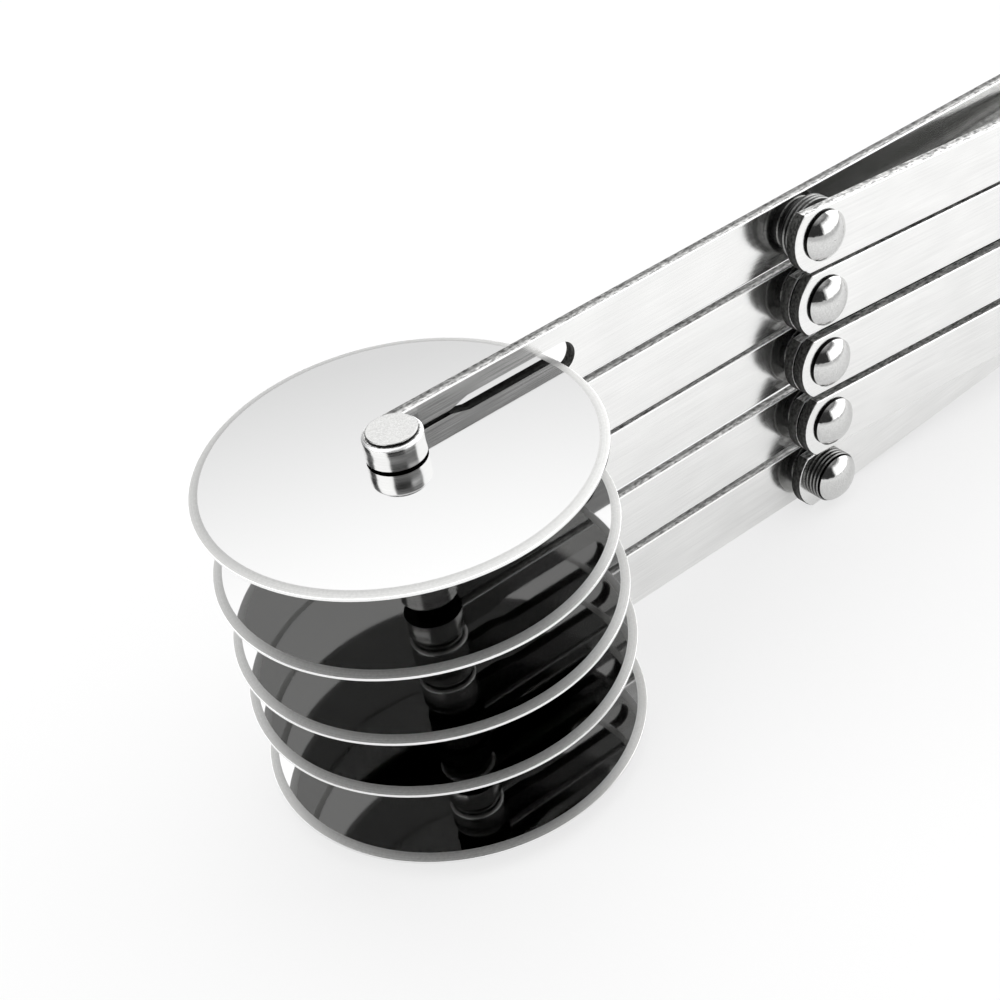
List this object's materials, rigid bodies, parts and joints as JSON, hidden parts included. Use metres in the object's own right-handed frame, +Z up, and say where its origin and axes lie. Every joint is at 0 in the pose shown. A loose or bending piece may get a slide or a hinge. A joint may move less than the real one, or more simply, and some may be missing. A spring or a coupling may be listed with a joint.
{
  "type": "expandable dough cutter",
  "caption": "Pastry cutter: round wheels on flat steel arms that a lazy-tongs frame of crossed, riveted links spreads apart to set the width of the strips.",
  "frame": {"origin": "middle of the folded cutter's box, on the plane of the lowest arm's lower edge, on which it stands", "axes": "+X rearward along the arms, +Z up along the axles and in the direction of spread, -Y the side of the rivet heads"},
  "size_m": [0.251, 0.055, 0.055],
  "materials": {
    "wheel_steel": "mirror-polished stainless steel, ground bevel",
    "strip_steel": "polished stainless strip with sheared edges",
    "rivet_steel": "bright headed stainless wire",
    "washer_steel": "stamped stainless sheet"
  },
  "bodies": {
    "arm_1": {"wheel_arm_1": "strip_steel", "axle_pin_1": "rivet_steel", "front_rivet_1": "rivet_steel", "front_washers_1": "washer_steel"},
    "arm_2": {"wheel_arm_2": "strip_steel", "axle_pin_2": "rivet_steel", "front_rivet_2": "rivet_steel", "front_washers_2": "washer_steel"},
    "arm_3": {"wheel_arm_3": "strip_steel", "axle_pin_3": "rivet_steel", "front_rivet_3": "rivet_steel", "front_washers_3": "washer_steel"},
    "arm_4": {"wheel_arm_4": "strip_steel", "axle_pin_4": "rivet_steel", "front_rivet_4": "rivet_steel", "front_washers_4": "washer_steel"},
    "arm_5": {"wheel_arm_5": "strip_steel", "axle_pin_5": "rivet_steel", "front_rivet_5": "rivet_steel", "front_washers_5": "washer_steel"},
    "inner_1": {"inner_link_1": "strip_steel"},
    "outer_1": {"outer_link_1": "strip_steel", "cross_rivet_1": "rivet_steel", "cross_washer_1": "washer_steel", "rear_rivet_1": "rivet_steel", "rear_washers_1": "washer_steel"},
    "inner_2": {"inner_link_2": "strip_steel"},
    "outer_2": {"outer_link_2": "strip_steel", "cross_rivet_2": "rivet_steel", "cross_washer_2": "washer_steel", "rear_rivet_2": "rivet_steel", "rear_washers_2": "washer_steel"},
    "inner_3": {"inner_link_3": "strip_steel"},
    "outer_3": {"outer_link_3": "strip_steel", "cross_rivet_3": "rivet_steel", "cross_washer_3": "washer_steel", "rear_rivet_3": "rivet_steel", "rear_washers_3": "washer_steel"},
    "inner_4": {"inner_link_4": "strip_steel", "rear_rivet_5": "rivet_steel", "rear_washers_5": "washer_steel"},
    "outer_4": {"outer_link_4": "strip_steel", "cross_rivet_4": "rivet_steel", "cross_washer_4": "washer_steel", "rear_rivet_4": "rivet_steel", "rear_washers_4": "washer_steel"},
    "wheel_1": {"cutting_wheel_1": "wheel_steel"},
    "wheel_2": {"cutting_wheel_2": "wheel_steel"},
    "wheel_3": {"cutting_wheel_3": "wheel_steel"},
    "wheel_4": {"cutting_wheel_4": "wheel_steel"},
    "wheel_5": {"cutting_wheel_5": "wheel_steel"}
  },
  "joints": [
    {"name": "fold", "type": "hinge", "parent": "arm_1", "child": "inner_1", "pos_m": [-0.02404, 0, 0.00531], "axis": [0, -1, 0], "range_deg": [0, 50.58]},
    {"name": "cross_1_turn", "type": "hinge", "parent": "inner_1", "child": "outer_1", "pos_m": [0.04775, 0, 0.01086], "axis": [0, -1, 0], "range_deg": [-101.21, 0]},
    {"name": "arm_2_turn", "type": "hinge", "parent": "outer_1", "child": "arm_2", "pos_m": [-0.02404, 0, 0.01641], "axis": [0, -1, 0], "range_deg": [0, 50.6]},
    {"name": "inner_2_turn", "type": "hinge", "parent": "outer_1", "child": "inner_2", "pos_m": [-0.02404, 0, 0.01641], "axis": [0, -1, 0], "range_deg": [0, 101.21]},
    {"name": "cross_2_turn", "type": "hinge", "parent": "inner_2", "child": "outer_2", "pos_m": [0.04775, 0, 0.02196], "axis": [0, -1, 0], "range_deg": [-101.21, 0]},
    {"name": "arm_3_turn", "type": "hinge", "parent": "outer_2", "child": "arm_3", "pos_m": [-0.02404, 0, 0.02751], "axis": [0, -1, 0], "range_deg": [0, 50.6]},
    {"name": "inner_3_turn", "type": "hinge", "parent": "outer_2", "child": "inner_3", "pos_m": [-0.02404, 0, 0.02751], "axis": [0, -1, 0], "range_deg": [0, 101.21]},
    {"name": "cross_3_turn", "type": "hinge", "parent": "inner_3", "child": "outer_3", "pos_m": [0.04775, 0, 0.03306], "axis": [0, -1, 0], "range_deg": [-101.21, 0]},
    {"name": "arm_4_turn", "type": "hinge", "parent": "outer_3", "child": "arm_4", "pos_m": [-0.02404, 0, 0.03861], "axis": [0, -1, 0], "range_deg": [0, 50.6]},
    {"name": "inner_4_turn", "type": "hinge", "parent": "outer_3", "child": "inner_4", "pos_m": [-0.02404, 0, 0.03861], "axis": [0, -1, 0], "range_deg": [0, 101.21]},
    {"name": "cross_4_turn", "type": "hinge", "parent": "inner_4", "child": "outer_4", "pos_m": [0.04775, 0, 0.04416], "axis": [0, -1, 0], "range_deg": [-101.21, 0]},
    {"name": "arm_5_turn", "type": "hinge", "parent": "outer_4", "child": "arm_5", "pos_m": [-0.02404, 0, 0.04971], "axis": [0, -1, 0], "range_deg": [0, 50.6]},
    {"name": "wheel_1_spin", "type": "hinge", "parent": "arm_1", "child": "wheel_1", "pos_m": [-0.09804, 0, 0.00353], "axis": [0, 0, 1], "continuous": true},
    {"name": "wheel_2_spin", "type": "hinge", "parent": "arm_2", "child": "wheel_2", "pos_m": [-0.09804, 0, 0.01649], "axis": [0, 0, 1], "continuous": true},
    {"name": "wheel_3_spin", "type": "hinge", "parent": "arm_3", "child": "wheel_3", "pos_m": [-0.09804, 0, 0.02603], "axis": [0, 0, 1], "continuous": true},
    {"name": "wheel_4_spin", "type": "hinge", "parent": "arm_4", "child": "wheel_4", "pos_m": [-0.09804, 0, 0.0373], "axis": [0, 0, 1], "continuous": true},
    {"name": "wheel_5_spin", "type": "hinge", "parent": "arm_5", "child": "wheel_5", "pos_m": [-0.09804, 0, 0.05024], "axis": [0, 0, 1], "continuous": true}
  ],
  "couplings": [
    {"joint": "cross_1_turn", "follows": "fold", "ratio": -2},
    {"joint": "arm_2_turn", "follows": "fold", "ratio": 1},
    {"joint": "inner_2_turn", "follows": "fold", "ratio": 2},
    {"joint": "cross_2_turn", "follows": "fold", "ratio": -2},
    {"joint": "arm_3_turn", "follows": "fold", "ratio": 1},
    {"joint": "inner_3_turn", "follows": "fold", "ratio": 2},
    {"joint": "cross_3_turn", "follows": "fold", "ratio": -2},
    {"joint": "arm_4_turn", "follows": "fold", "ratio": 1},
    {"joint": "inner_4_turn", "follows": "fold", "ratio": 2},
    {"joint": "cross_4_turn", "follows": "fold", "ratio": -2},
    {"joint": "arm_5_turn", "follows": "fold", "ratio": 1}
  ]
}
